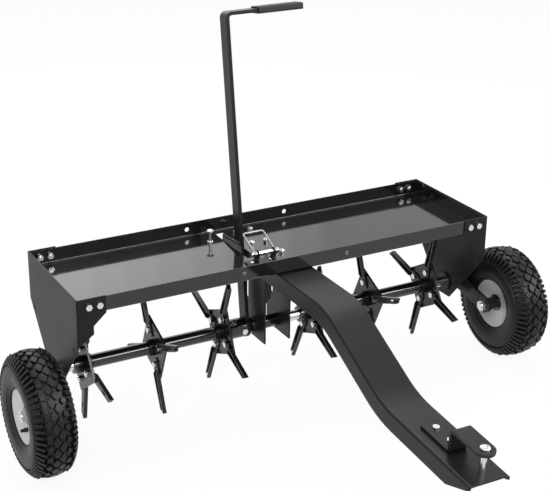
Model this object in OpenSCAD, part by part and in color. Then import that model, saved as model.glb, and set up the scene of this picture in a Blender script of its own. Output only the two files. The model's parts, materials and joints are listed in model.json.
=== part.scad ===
// Tow behind plug aerator: a weight tray on six free stars of coring spoons, lifted off the ground
// by a lever that turns the shaft and swings the two wheels down.
// X runs across the machine, the tongue points to -Y and Z is up, with the ground at zero.

/* [Tray] */
// Length of the weight tray, across the machine
tray_length = 1030; // [960:5:1120]
// Depth of the tray, front to rear
tray_depth = 292; // [280:2:330]
// Height of the tray walls above the floor
tray_wall = 33; // [28:1:45]
// Thickness of the tray sheet
tray_sheet = 2; // [1.5:0.5:3]
// Outside radius of the folds along the tray
tray_bend = 5; // [4:0.5:8]
// Height of the underside of the tray above the shaft
tray_rise = 187; // [180:1:200]
// Diameter of the accessory holes in the front and rear walls
wall_hole_d = 11; // [8:0.5:14]
// Distance between the two accessory holes of one wall
wall_hole_span = 260; // [220:5:300]

/* [Side panels] */
// Thickness of the side panels
panel_sheet = 2.5; // [2:0.5:4]
// Height of the panel above the tray wall
panel_lip = 2; // [1:0.5:4]
// Height of the upright front and rear edges
panel_upright = 108; // [95:1:120]
// Reach of the panel below the shaft
panel_drop = 36; // [32:1:45]
// Width of the flat foot of the panel
panel_foot = 44; // [40:1:60]
// Width of the flanges where they are bolted
panel_flange = 63; // [58:1:75]
// Height of the wide part of the flanges
panel_flange_tall = 38; // [32:1:46]
// Width of the flanges below their slanted step
panel_flange_narrow = 34; // [28:1:44]
// Height of the slanted step, and of the slanted lower end
panel_flange_step = 26; // [18:1:30]
// Distance of the first bolt from the panel
panel_bolt_inset = 24; // [20:1:28]
// Distance between the two bolts of one corner
panel_bolt_pitch = 24; // [20:1:28]
// Diameter of the small holes near the slanted edges
panel_hole_d = 8; // [5:0.5:10]

/* [Shaft] */
// Diameter of the shaft
shaft_d = 25; // [20:0.5:28]
// Outside diameter of the spacer tubes
spacer_d = 31; // [30:0.5:34]
// Outside diameter of the set collars
collar_d = 38; // [35:0.5:42]
// Width of the set collars
collar_w = 10; // [8:0.5:12]

/* [Stars] */
// Distance of the inner stars from the middle of the machine
star_first = 117; // [112:1:125]
// Distance of the outer stars from the side panels
star_end = 62; // [55:1:70]
// Side of the square star plate
star_side = 105; // [95:1:115]
// Thickness of the star plate
star_sheet = 5; // [4:0.5:6]
// Diameter of the star hub
star_hub_d = 38; // [35:0.5:42]
// Length of the star hub
star_hub_l = 32; // [28:1:36]
// Distance of the spoon bolts from the shaft
spoon_bolt_r = 40; // [37:0.5:44]
// Distance of the spoon tips from the shaft
spoon_reach = 152; // [135:1:154]
// Width of a spoon at the plate
spoon_width = 19; // [17:0.5:21]
// Width of a spoon at its tip
spoon_tip = 13; // [12:0.5:16]
// Height of the spoon's side walls
spoon_leg = 9; // [7:0.5:11]
// Thickness of the spoon's sheet
spoon_sheet = 3; // [2.5:0.25:3.5]
// Slant of the spoon's cutting edge, in degrees
spoon_slant = 38; // [25:1:45]

/* [Wheels] */
// Outside diameter of the tyre
wheel_d = 272; // [260:2:290]
// Width of the tyre's carcass
tyre_width = 94; // [90:1:100]
// Depth of the tread blocks
tread_depth = 5; // [4:0.5:6]
// Number of tread blocks round one row
tread_count = 20; // [16:2:26]
// Diameter over the rim's lips
rim_d = 118; // [114:1:122]
// Width over the rim's lips
rim_width = 72; // [66:1:76]
// Depth of the rim's dished sides
rim_dish = 13; // [10:0.5:16]
// Thickness of the rim's sheet
rim_sheet = 2.5; // [2:0.25:3]
// Length of the wheel hub
hub_length = 50; // [46:1:56]
// Diameter of the wheel hub
hub_d = 40; // [38:0.5:44]
// Diameter of the spindle
spindle_d = 16; // [14:0.5:18]
// Distance from the shaft to the spindle
arm_length = 127; // [120:1:140]
// Slope of the wheel arms at rest, in degrees
arm_slope = 10.4; // [8:0.1:18]
// Height of the arm's flat bar
arm_bar = 38; // [36:1:44]
// Thickness of the arm's flat bar
arm_sheet = 8; // [6:0.5:10]
// Length of the boss between the arm and the wheel
arm_boss = 25; // [22:0.5:40]

/* [Tongue] */
// Width of the tongue
tongue_width = 91; // [88:1:100]
// Depth of the tongue's side walls
tongue_depth = 40; // [34:1:46]
// Thickness of the tongue's sheet
tongue_sheet = 3; // [2.5:0.5:4]
// Outside radius of the tongue's folds
tongue_fold = 6; // [5:0.5:8]
// Reach of the tongue behind the shaft
tongue_rear = 128; // [122:1:134]
// Length of the level stretch in front of the shaft
tongue_level = 290; // [260:5:320]
// Slope of the middle stretch, in degrees
tongue_slope = 26.5; // [20:0.5:30]
// Level length of the middle stretch
tongue_middle = 150; // [120:5:180]
// Slope of the hitch end, in degrees
tongue_end_slope = 5; // [3:0.5:8]
// Length of the hitch end
tongue_end = 252; // [240:1:290]
// Radius of the upper curve
tongue_upper_r = 200; // [150:5:260]
// Radius of the lower curve
tongue_lower_r = 220; // [150:5:260]

/* [Hitch] */
// Width of the hitch bracket
hitch_width = 42; // [38:1:46]
// Thickness of the hitch bracket
hitch_sheet = 6; // [5:0.5:8]
// Height of the hitch bracket above the tongue
hitch_height = 54; // [48:1:58]
// Diameter of the hitch pin
hitch_pin_d = 12.7; // [10:0.1:16]

/* [Lever] */
// Width of the lever's flat bar
lever_bar = 32; // [28:1:36]
// Thickness of the lever's flat bar
lever_sheet = 8; // [6:0.5:8]
// Height of the lever's top along its own length
lever_top = 727; // [650:1:820]
// Lean of the lever to the rear at rest, in degrees
lever_lean = 8; // [6:0.5:9]
// Inside radius of the bend at the top
lever_bend = 6; // [4:1:30]
// Length of the handle from the lever's left face
handle_length = 188; // [170:1:220]
// Length of the grip
grip_length = 112; // [100:1:130]
// Thickness of the grip's wall
grip_wall = 3.5; // [2.5:0.25:5]

/* [Latch] */
// Distance of the bail's pivot in front of the shaft
latch_front = 76; // [74:1:80]
// Height of the bail's pivot above the tray floor
latch_height = 24; // [20:1:26]
// Distance between the ears
latch_gap = 38; // [34:1:40]
// Diameter of the bail's wire
bail_wire = 5; // [4:0.5:6]
// Length of the bail from its pivot
bail_length = 66; // [60:1:67]
// Rise of the bail towards the rear at rest, in degrees
bail_rise = 24; // [20:1:35]

/* [Fasteners] */
// Diameter of the frame bolts
bolt_d = 8; // [6:0.5:8]
// Width of a bolt head or nut across its flats
bolt_flats = 13; // [10:0.5:13]
// Height of a bolt head
bolt_head = 5.5; // [4:0.25:6]
// Height of a nut
nut_tall = 6.5; // [5:0.25:7]

/* [Hidden] */
$fn = 64;

// Running clearance, fit clearance, room in bolt holes and overrun of cuts
run_room = 0.08;
fit_room = 0.1;
hole_room = 0.3;
side_room = 0.3;
overrun = 1;
bolt_tail = 2;

// Finishes
coat = "#2a2a2c";
coat_lit = "#38383a";
zinc = "#c9cbce";
rubber = "#1f1f20";
silver = "#a9abae";

// Heights above the shaft
tray_floor = tray_rise + tray_sheet;
tray_top = tray_floor + tray_wall;
panel_top = tray_top + panel_lip;
panel_knee = panel_top - panel_upright;
panel_bolt_z = tray_floor + tray_wall / 2;
panel_side = tray_depth / 2 + panel_sheet;
tray_side = tray_length / 2;

// Stack along the shaft, from the middle to the wheel
hanger_sheet = 4;
hanger_x = 30.2;
hanger_out = hanger_x + hanger_sheet;
lever_gap = 14;
lever_x = -hanger_out - lever_gap - lever_sheet;
star_last = tray_side - star_end;
star_pitch = (star_last - star_first) / 2;
star_x = [-star_last, -star_last + star_pitch, -star_first, star_first, star_last - star_pitch, star_last];
star_turn = [10, -23, 22, 24, -20, 15];
star_count = len(star_x);
bush_flange = 4;
bush_flange_d = 46;
bush_d = 33;
bush_out = 3;
arm_room = 28.5;
arm_x = tray_side + panel_sheet + arm_room;
arm_out = arm_x + arm_sheet;
arm_collar = 18;
arm_seat_in = 1.5;
arm_collar_wall = 5.5;
arm_collar_d = shaft_d + 2 * arm_collar_wall;
arm_boss_wall = 7.5;
arm_boss_d = spindle_d + 2 * arm_boss_wall;
arm_seat = arm_collar_d / 2 - arm_seat_in;
shaft_end = arm_out + overrun;
wheel_x = arm_out + arm_boss + side_room + hub_length / 2;
hub_out = wheel_x + hub_length / 2 + side_room;

// Axle below and in front of the shaft, and the shaft above the ground
axle_y = -arm_length * cos(arm_slope);
axle_z = -arm_length * sin(arm_slope);
shaft_z = wheel_d / 2 - axle_z;

// Side line of the tongue, as [y, z] points where one stretch meets the next
upper_start = [-tongue_level, tray_rise];
upper_centre = upper_start - [0, tongue_upper_r];
middle_start = upper_centre + tongue_upper_r * [-sin(tongue_slope), cos(tongue_slope)];
lower_start = middle_start - tongue_middle * [1, tan(tongue_slope)];
lower_centre = lower_start + tongue_lower_r * [-sin(tongue_slope), cos(tongue_slope)];
end_start = lower_centre + tongue_lower_r * [sin(tongue_end_slope), -cos(tongue_end_slope)];
end_stop = end_start - tongue_end * [cos(tongue_end_slope), sin(tongue_end_slope)];

// The shaft lies behind the middle of the whole machine
rear_reach = panel_side + bolt_head;
shaft_y = (-end_stop.x - rear_reach) / 2;

// Bolts through tray, tongue and hangers
floor_bolt_x = 19;
floor_bolt_front = -45;
floor_bolt_middle = 30;
floor_bolt_rear = 110;
floor_bolt_rows = [floor_bolt_front, floor_bolt_middle, floor_bolt_rear];
floor_bolt_under = [hanger_sheet, hanger_sheet, 0];

// Hangers
hanger_front = 62;
hanger_rear = 46;
hanger_drop = 24;
hanger_shelf = 22;
hanger_lip = 16;
hanger_lip_low = 75;
hanger_slot_y = 24;
hanger_slot_w = 12;
hanger_slot_low = 60;
hanger_slot_high = 150;
hanger_top = tray_rise - tongue_sheet;

// Slot in the tray floor for the lever and its stop rod
stop_rod_d = 7;
stop_rod_l = 72;
stop_rod_z = 205;
stop_rod_flat = 0.5;
slot_left = 9;
slot_right = 3;
slot_front = 38;
slot_rear = 128;

// Hitch end, measured along the tongue from the start of its end stretch
hitch_back = 58;
hitch_riser = 152;
hitch_bolt_back = 79;
hitch_bolt_front = 126;
hitch_pin_at = 225;
hitch_bend = 3;
hitch_pin_tail = 18;
hitch_head_d = 20;
hitch_head = 4;
hitch_dome = 4;
tongue_tip = 10;
tongue_lap = 1;
tongue_grow = 0.02;
tongue_taper = 70;

// Lever foot, collar and grip
lever_boss_d = 48;
lever_collar_d = 46;
lever_collar_l = 41;
lever_bolt_pitch = 22;
lever_bolt_turn = 60;
lever_bolt_spread = 30;
grip_cap = 4;
grip_round = 4;

// Latch
latch_sheet = 3;
latch_bolt_d = 6;
latch_bolt_flats = 10;
latch_bolt_head = 4;
latch_spacer_d = 10;
latch_ear_r = 9;
latch_ear_foot = 36;
latch_foot_out = 22;
latch_right = -22;
latch_middle = latch_right - latch_gap / 2;
base_bolt_d = 5;
base_bolt_flats = 8;
base_bolt_head = 3.5;
base_bolt_room = 0.8;
latch_z = tray_floor + latch_height;
bail_eye_d = 14;
bail_eye_extra = 1.5;
bail_eye_w = bail_wire + bail_eye_extra;
bail_round = 6;
bail_side = latch_gap / 2 + latch_sheet + side_room + bail_eye_w / 2;

// Base bolts of the latch: one through its foot on the left, and one beside the right ear
base_bolt_left = latch_middle - latch_gap / 2 - latch_sheet - latch_foot_out / 2;
base_bolt_right = latch_right - base_bolt_flats / 2 - base_bolt_room;

// Parking pin
parking_x = -101;
parking_y = 80;
parking_d = 8;
parking_tall = 31;
parking_head_d = 17;
parking_dome = 4;

// Spoons
spoon_foot_room = 5;
spoon_foot = star_hub_d / 2 + spoon_foot_room;
spoon_wall_room = 4;
spoon_wall_start = spoon_bolt_r + bolt_flats / 2 + spoon_wall_room;
spoon_hole_w = 5;
spoon_hole_l = 16;
spoon_hole_in = 28;
spoon_hole_high = spoon_reach - spoon_hole_in;
spoon_hole_low = spoon_hole_high - spoon_hole_l;
spoon_lip = 3;
spoon_lip_l = 46;
plate_slot = 14;
plate_hole_d = bolt_d + 2 * hole_room;

// Tyre and rim
tyre_crown_r = 74;
tyre_side_r = 50;
tyre_side_at = 91;
tyre_tread = 11;
tyre_side_sheet = 7;
rim_lip = 7;
rim_lip_tall = 9;
rim_deep = rim_width / 2;
bead_r = rim_d / 2 - rim_lip_tall;
dish_edge = rim_d / 2 - side_room;
dish_r = (dish_edge * dish_edge - hub_d * hub_d / 4) / (2 * rim_dish);
dish_z = rim_deep + sqrt(dish_r * dish_r - dish_edge * dish_edge);

// Tread blocks in [along, across], as shares of the pitch and of the tyre's width
tread_pitch = PI * wheel_d / tread_count;
tread_block_share = 0.86;
tread_zig_share = 0.07;
tread_slit_share = 0.025;
tread_lug_share = 0.47;
tread_lug_wide_share = 0.26;
tread_root = wheel_d / 2 - 4 * tread_depth;
bearing_d = 34;
bearing_w = 12;
spindle_flats = 24;
spindle_nut = 12;
valve_d = 9;
valve_foot = 18;
valve_l = 15;
valve_r = 33;
valve_cap_d = 7;
valve_cap = 7;

// Moves what is drawn about the shaft to its place above the ground
module placed() {
    translate([0, shaft_y, shaft_z]) children();
}

// Left and right copies of what is drawn on the right
module on_side(side) {
    mirror([side < 0 ? 1 : 0, 0, 0]) children();
}

// Extrudes a [y, z] outline along X, about the middle or from x = 0
module across(length, middle = true) {
    rotate([90, 0, 90]) linear_extrude(length, center = middle) children();
}

module rod_x(d, from, to) {
    translate([from, 0, 0]) rotate([0, 90, 0]) cylinder(d = d, h = to - from);
}

module ring_x(d, bore, from, to) {
    difference() {
        rod_x(d, from, to);
        rod_x(bore, from - overrun, to + overrun);
    }
}

module drill_y(d, x, y, z) {
    translate([x, y, z]) rotate([90, 0, 0])
        cylinder(d = d, h = 4 * panel_sheet + 4 * overrun, center = true);
}

module drill_z(d, x, y, z, length) {
    translate([x, y, z]) cylinder(d = d, h = length + 2 * overrun, center = true);
}

module hex(flats, tall) {
    cylinder(d = flats / cos(30), h = tall, $fn = 6);
}

// Bolt with its head above z = 0 and its shank below
module bolt(length, d = bolt_d, flats = bolt_flats, head = bolt_head) {
    hex(flats, head);
    translate([0, 0, -length]) cylinder(d = d, h = length + head / 2);
}

module nut(d = bolt_d, flats = bolt_flats, tall = nut_tall) {
    difference() {
        hex(flats, tall);
        translate([0, 0, -overrun]) cylinder(d = d + 2 * fit_room, h = tall + 2 * overrun);
    }
}

// Outline of a folded pan or channel: a box with two rounded corners at its closed end, which is z = low
module fold_outline(width, low, high, radius) {
    translate([-width / 2, low + radius]) square([width, high - low - radius]);
    translate([-width / 2 + radius, low]) square([width - 2 * radius, high - low]);
    for (side = [-1, 1])
        translate([side * (width / 2 - radius), low + radius]) circle(r = radius);
}

// Slot with round ends, upright in the plane of its outline
module slot_outline(width, low, high) {
    translate([-width / 2, low + width / 2]) square([width, high - low - width]);
    for (z = [low + width / 2, high - width / 2])
        translate([0, z]) circle(d = width);
}

// Tray
module tray() {
    color(coat_lit) placed() difference() {
        across(tray_length) fold_outline(tray_depth, tray_rise, tray_top, tray_bend);
        across(tray_length - 2 * tray_sheet)
            fold_outline(tray_depth - 2 * tray_sheet, tray_floor, tray_top + overrun,
                         tray_bend - tray_sheet);
        panel_bolt_places() translate([0, 0, -panel_sheet - tray_sheet / 2])
            cylinder(d = bolt_d + 2 * hole_room, h = tray_sheet + 2 * overrun, center = true);
        for (side = [-1, 1], end = [-1, 1])
            drill_y(wall_hole_d, side * wall_hole_span / 2, end * tray_depth / 2, panel_bolt_z);
        floor_bolt_places() drill_z(bolt_d + 2 * hole_room, 0, 0, tray_rise, 2 * tray_sheet);
        latch_bolt_places() drill_z(base_bolt_d + 2 * hole_room, 0, 0, 0, 2 * tray_sheet);
        drill_z(parking_d + 2 * hole_room, parking_x, parking_y, tray_rise, 2 * tray_sheet);
        translate([lever_x - slot_left, -slot_front, tray_rise - overrun])
            cube([slot_left + lever_sheet + slot_right, slot_front + slot_rear, tray_sheet + 2 * overrun]);
    }
}

// Side panels
module panel_bolt_places() {
    for (side = [-1, 1], end = [-1, 1], inset = [panel_bolt_inset, panel_bolt_inset + panel_bolt_pitch])
        translate([side * (tray_side - inset), end * panel_side, panel_bolt_z])
            rotate([-end * 90, 0, 0]) children();
}

module panel_outline() {
    polygon([[-panel_side, panel_top], [-panel_side, panel_knee], [-panel_foot / 2, -panel_drop],
             [panel_foot / 2, -panel_drop], [panel_side, panel_knee], [panel_side, panel_top]]);
}

module flange_outline() {
    wide = tray_side - panel_flange;
    narrow = tray_side - panel_flange_narrow;
    step = panel_top - panel_flange_tall;
    outer = tray_side + panel_sheet;
    polygon([[outer, panel_top], [wide, panel_top], [wide, step], [narrow, step - panel_flange_step],
             [narrow, panel_knee + panel_flange_step], [outer, panel_knee]]);
}

// Cuts the upright outer edges round, where the panel is folded into its flanges
module panel_edges() {
    for (end = [0, 1])
        mirror([0, end, 0]) translate([tray_side, tray_depth / 2, panel_knee - overrun])
            linear_extrude(panel_upright + 2 * overrun) difference() {
                square(panel_sheet + overrun);
                circle(r = panel_sheet);
            }
}

module side_panel(side) {
    hole_in = panel_flange_step + panel_hole_d / 2;
    color(coat_lit) placed() difference() {
        on_side(side) {
            translate([tray_side, 0, 0]) across(panel_sheet, false) panel_outline();
            for (y = [-tray_depth / 2, panel_side])
                translate([0, y, 0]) rotate([90, 0, 0]) linear_extrude(panel_sheet) flange_outline();
        }
        panel_bolt_places()
            cylinder(d = bolt_d + 2 * hole_room, h = 2 * panel_sheet + overrun, center = true);
        on_side(side) {
            panel_edges();
            rod_x(bush_d + 2 * fit_room, tray_side - overrun, tray_side + panel_sheet + overrun);
            for (end = [-1, 1])
                translate([0, end * (panel_side - hole_in), panel_knee - hole_in / 2])
                    rod_x(panel_hole_d, tray_side - overrun, tray_side + panel_sheet + overrun);
        }
    }
}

module left_side_panel() {
    side_panel(-1);
}

module right_side_panel() {
    side_panel(1);
}

module panel_bolts() {
    color(zinc) placed() panel_bolt_places() bolt(panel_sheet + tray_sheet + nut_tall + bolt_tail);
}

module panel_nuts() {
    color(zinc) placed() panel_bolt_places()
        translate([0, 0, -panel_sheet - tray_sheet - nut_tall]) nut();
}

module shaft_bushings() {
    inner = tray_side - bush_flange;
    outer = tray_side + panel_sheet + bush_out;
    color(rubber) placed() for (side = [-1, 1]) on_side(side) difference() {
        union() {
            rod_x(bush_flange_d, inner, tray_side);
            rod_x(bush_d, inner, outer);
        }
        rod_x(shaft_d + 2 * run_room, inner - overrun, outer + overrun);
    }
}

// Tongue
// Channel section, its sheet grown on every face where it is bent
module tongue_section(grow = 0) {
    inner = tongue_sheet + grow;
    rotate(180) difference() {
        fold_outline(tongue_width + 2 * grow, -grow, tongue_depth + grow, tongue_fold + grow);
        fold_outline(tongue_width - 2 * inner, inner, tongue_depth + overrun, tongue_fold - inner);
    }
}

// Straight stretch of the tongue, lapped a little into the curve behind it
module tongue_stretch(start, slope, length, lap = tongue_lap) {
    translate([0, start.x, start.y]) rotate([slope + 90, 0, 0]) translate([0, 0, -lap])
        linear_extrude(length + lap) tongue_section();
}

// The hitch end's own frame: -Y runs along the tongue and Z stands on it
module at_hitch() {
    translate([0, end_start.x, end_start.y]) rotate([tongue_end_slope, 0, 0]) children();
}

module floor_bolt_places() {
    for (side = [-1, 1], y = floor_bolt_rows)
        translate([side * floor_bolt_x, y, 0]) children();
}

module hitch_bolt_places() {
    for (s = [hitch_bolt_back, hitch_bolt_front])
        at_hitch() translate([0, -s, 0]) children();
}

module tongue() {
    taper_start = tongue_taper - tongue_end;
    color(coat) placed() difference() {
        union() {
            tongue_stretch([tongue_rear, tray_rise], 0, tongue_rear + tongue_level + tongue_lap, 0);
            translate([0, upper_centre.x, upper_centre.y]) rotate([0, -90, 180])
                rotate_extrude(angle = tongue_slope)
                    translate([tongue_upper_r, 0]) rotate(-90) tongue_section(tongue_grow);
            tongue_stretch(middle_start, tongue_slope, tongue_middle / cos(tongue_slope) + tongue_lap);
            translate([0, lower_centre.x, lower_centre.y])
                rotate([0, 90, 0]) rotate([0, 0, tongue_end_slope])
                rotate_extrude(angle = tongue_slope - tongue_end_slope)
                    translate([tongue_lower_r, 0]) rotate(90) tongue_section(tongue_grow);
            tongue_stretch(end_start, tongue_end_slope, tongue_end);
        }
        at_hitch() across(tongue_width + 2 * overrun)
            polygon([[-tongue_end - overrun, -tongue_tip], [-tongue_end, -tongue_tip],
                     [taper_start, -tongue_depth], [taper_start, -tongue_depth - overrun],
                     [-tongue_end - overrun, -tongue_depth - overrun]]);
        floor_bolt_places() drill_z(bolt_d + 2 * hole_room, 0, 0, tray_rise, 2 * tongue_sheet);
        drill_z(base_bolt_d + 2 * hole_room, base_bolt_right, -latch_front, tray_rise, 2 * tongue_sheet);
        hitch_bolt_places() drill_z(bolt_d + 2 * hole_room, 0, 0, 0, 2 * tongue_sheet);
        at_hitch() drill_z(hitch_pin_d + 2 * run_room, 0, -hitch_pin_at, 0, 2 * tongue_sheet);
    }
}

module floor_bolts() {
    color(zinc) placed() for (side = [-1, 1], i = [0 : len(floor_bolt_rows) - 1])
        translate([side * floor_bolt_x, floor_bolt_rows[i], hanger_top - floor_bolt_under[i]])
            rotate([180, 0, 0])
                bolt(floor_bolt_under[i] + tongue_sheet + tray_sheet + nut_tall + bolt_tail);
}

module floor_nuts() {
    color(zinc) placed() floor_bolt_places() translate([0, 0, tray_floor]) nut();
}

// Hangers
module hanger_outline() {
    difference() {
        translate([-hanger_front, -hanger_drop])
            square([hanger_front + hanger_rear, hanger_top + hanger_drop]);
        translate([hanger_slot_y, 0]) slot_outline(hanger_slot_w, hanger_slot_low, hanger_slot_high);
    }
}

module hanger(side) {
    lip_x = hanger_out - hanger_lip;
    color(coat) placed() difference() {
        on_side(side) {
            translate([hanger_x, 0, 0]) across(hanger_sheet, false) hanger_outline();
            translate([hanger_x - hanger_shelf, -hanger_front, hanger_top - hanger_sheet])
                cube([hanger_shelf + hanger_sheet, hanger_front + hanger_rear, hanger_sheet]);
            translate([0, -hanger_front + hanger_sheet, 0]) rotate([90, 0, 0]) linear_extrude(hanger_sheet)
                polygon([[hanger_out, hanger_top], [lip_x, hanger_top],
                         [lip_x, hanger_lip_low + hanger_lip], [hanger_out, hanger_lip_low]]);
        }
        on_side(side) rod_x(shaft_d + 2 * run_room, hanger_x - overrun, hanger_out + overrun);
        floor_bolt_places() drill_z(bolt_d + 2 * hole_room, 0, 0, hanger_top, 2 * hanger_sheet);
    }
}

module left_hanger() {
    hanger(-1);
}

module right_hanger() {
    hanger(1);
}

// Hitch
// Quarter turn of the bent bar about its bend line, from straight down to the rear
module hitch_fold() {
    rotate([0, 90, 0]) rotate_extrude(angle = 90)
        translate([hitch_bend, -hitch_width / 2]) square([hitch_sheet, hitch_width]);
}

module hitch_bracket() {
    turn = hitch_bend + hitch_sheet;
    foot = hitch_riser - turn;
    top = hitch_riser + hitch_bend;
    color(coat) placed() difference() {
        at_hitch() {
            translate([-hitch_width / 2, -foot, 0]) cube([hitch_width, foot - hitch_back, hitch_sheet]);
            translate([0, -foot, turn]) mirror([0, 1, 0]) hitch_fold();
            translate([-hitch_width / 2, -hitch_riser, turn])
                cube([hitch_width, hitch_sheet, hitch_height - 2 * turn]);
            translate([0, -top, hitch_height - turn]) mirror([0, 0, 1]) hitch_fold();
            translate([-hitch_width / 2, -hitch_pin_at, hitch_height - hitch_sheet])
                cube([hitch_width, hitch_pin_at - top, hitch_sheet]);
            translate([0, -hitch_pin_at, hitch_height - hitch_sheet])
                cylinder(d = hitch_width, h = hitch_sheet);
        }
        hitch_bolt_places() drill_z(bolt_d + 2 * hole_room, 0, 0, hitch_sheet / 2, hitch_sheet);
        at_hitch() drill_z(hitch_pin_d + 2 * run_room, 0, -hitch_pin_at, hitch_height, 2 * hitch_sheet);
    }
}

module hitch_bolts() {
    color(zinc) placed() hitch_bolt_places() {
        translate([0, 0, hitch_sheet]) bolt(hitch_sheet + tongue_sheet + nut_tall + bolt_tail);
        translate([0, 0, -tongue_sheet - nut_tall]) nut();
    }
}

// Low dome on a round head
module dome(d, tall) {
    ball_r = (d * d / 4 + tall * tall) / (2 * tall);
    intersection() {
        translate([0, 0, tall - ball_r]) sphere(r = ball_r);
        cylinder(d = d, h = tall + overrun);
    }
}

module hitch_pin() {
    color(zinc) placed() at_hitch() translate([0, -hitch_pin_at, 0]) {
        translate([0, 0, -tongue_sheet - hitch_pin_tail])
            cylinder(d = hitch_pin_d, h = tongue_sheet + hitch_pin_tail + hitch_height + hitch_head / 2);
        translate([0, 0, hitch_height]) cylinder(d = hitch_head_d, h = hitch_head);
        translate([0, 0, hitch_height + hitch_head]) dome(hitch_head_d, hitch_dome);
    }
}

// Latch
module at_latch() {
    translate([latch_middle, -latch_front, latch_z]) children();
}

module latch_bolt_places() {
    for (x = [base_bolt_left, base_bolt_right])
        translate([x, -latch_front, tray_floor]) children();
}

module latch_ear_outline() {
    difference() {
        union() {
            circle(r = latch_ear_r);
            translate([-latch_ear_r, -latch_height]) square([2 * latch_ear_r, latch_height]);
            polygon([[-latch_ear_foot / 2, -latch_height], [latch_ear_foot / 2, -latch_height],
                     [latch_ear_r, -latch_ear_r], [-latch_ear_r, -latch_ear_r]]);
        }
        circle(d = latch_bolt_d + 2 * run_room);
    }
}

module latch_bracket() {
    base_l = -latch_gap / 2 - latch_sheet - latch_foot_out;
    base_r = latch_gap / 2 + latch_sheet;
    color(coat) placed() difference() {
        at_latch() {
            for (x = [-latch_gap / 2 - latch_sheet, latch_gap / 2])
                translate([x, 0, 0]) across(latch_sheet, false) latch_ear_outline();
            translate([base_l, -latch_ear_foot / 2, -latch_height])
                cube([base_r - base_l, latch_ear_foot, latch_sheet]);
        }
        latch_bolt_places() drill_z(base_bolt_d + 2 * hole_room, 0, 0, latch_sheet / 2, latch_sheet);
    }
}

// Pivot bolt of the bail, its nut and the spacer between the ears
module latch_pivot() {
    reach = bail_side + bail_eye_w / 2 + side_room;
    color(zinc) placed() at_latch() {
        ring_x(latch_spacer_d, latch_bolt_d + 2 * fit_room, -latch_gap / 2, latch_gap / 2);
        translate([reach, 0, 0]) rotate([0, 90, 0])
            bolt(2 * reach + latch_bolt_head + bolt_tail, latch_bolt_d, latch_bolt_flats, latch_bolt_head);
        translate([-reach - latch_bolt_head, 0, 0]) rotate([0, 90, 0])
            nut(latch_bolt_d, latch_bolt_flats, latch_bolt_head);
    }
}

module latch_bolts() {
    color(zinc) placed() {
        base_bolt(base_bolt_left, tray_sheet);
        base_bolt(base_bolt_right, tray_sheet + tongue_sheet);
    }
}

// Base bolt and its nut, below what the bolt goes through under the base
module base_bolt(x, under) {
    length = latch_sheet + under + base_bolt_head + bolt_tail;
    translate([x, -latch_front, tray_floor]) {
        translate([0, 0, latch_sheet]) rotate(30)
            bolt(length, base_bolt_d, base_bolt_flats, base_bolt_head);
        translate([0, 0, -under - base_bolt_head]) rotate(30)
            nut(base_bolt_d, base_bolt_flats, base_bolt_head);
    }
}

// Bent wire with an eye at each end, drawn lying to the rear of its pivot
module latch_bail() {
    color(zinc) placed() at_latch() rotate([bail_rise, 0, 0]) {
        for (side = [-1, 1]) on_side(side) {
            difference() {
                union() {
                    rod_x(bail_eye_d, bail_side - bail_eye_w / 2, bail_side + bail_eye_w / 2);
                    translate([bail_side, 0, 0]) rotate([-90, 0, 0])
                        cylinder(d = bail_wire, h = bail_length - bail_round);
                }
                rod_x(latch_bolt_d + 2 * run_room, bail_side - bail_eye_w, bail_side + bail_eye_w);
            }
            translate([bail_side - bail_round, bail_length - bail_round, 0]) rotate_extrude(angle = 90)
                translate([bail_round, 0]) circle(d = bail_wire);
        }
        translate([0, bail_length, 0]) rod_x(bail_wire, -bail_side + bail_round, bail_side - bail_round);
    }
}

// Pin with a domed head, standing on the tray floor, with its nut below
module parking_pin() {
    color(zinc) placed() translate([parking_x, parking_y, 0]) {
        translate([0, 0, tray_rise - nut_tall - bolt_tail])
            cylinder(d = parking_d, h = tray_sheet + nut_tall + bolt_tail + parking_tall);
        translate([0, 0, tray_floor]) hex(bolt_flats, bolt_head);
        translate([0, 0, tray_floor + parking_tall]) dome(parking_head_d, parking_dome);
        translate([0, 0, tray_rise - nut_tall]) nut(parking_d);
    }
}

// Lift axle
module shaft() {
    color(zinc) placed() difference() {
        rod_x(shaft_d, -shaft_end, shaft_end);
        arm_bolt_places() cylinder(d = bolt_d + 2 * hole_room, h = shaft_d + 2 * overrun, center = true);
    }
}

module spacer_tubes() {
    reach = star_hub_l / 2 + side_room;
    bore = shaft_d + 2 * fit_room;
    color(coat) placed() {
        ring_x(spacer_d, bore, -hanger_x + side_room, hanger_x - side_room);
        for (i = [0, 1, 3, 4])
            ring_x(spacer_d, bore, star_x[i] + reach, star_x[i + 1] - reach);
    }
}

module set_collars() {
    reach = star_hub_l / 2 + side_room;
    bore = shaft_d + 2 * fit_room;
    color(coat) placed() {
        ring_x(collar_d, bore, star_x[0] - reach - collar_w, star_x[0] - reach);
        ring_x(collar_d, bore, star_x[5] + reach, star_x[5] + reach + collar_w);
        ring_x(collar_d, bore, star_x[3] - reach - collar_w, star_x[3] - reach);
        ring_x(collar_d, bore, lever_x + lever_sheet, lever_x + lever_sheet + collar_w);
    }
}

module at_lever() {
    rotate([-lever_lean, 0, 0]) children();
}

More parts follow.
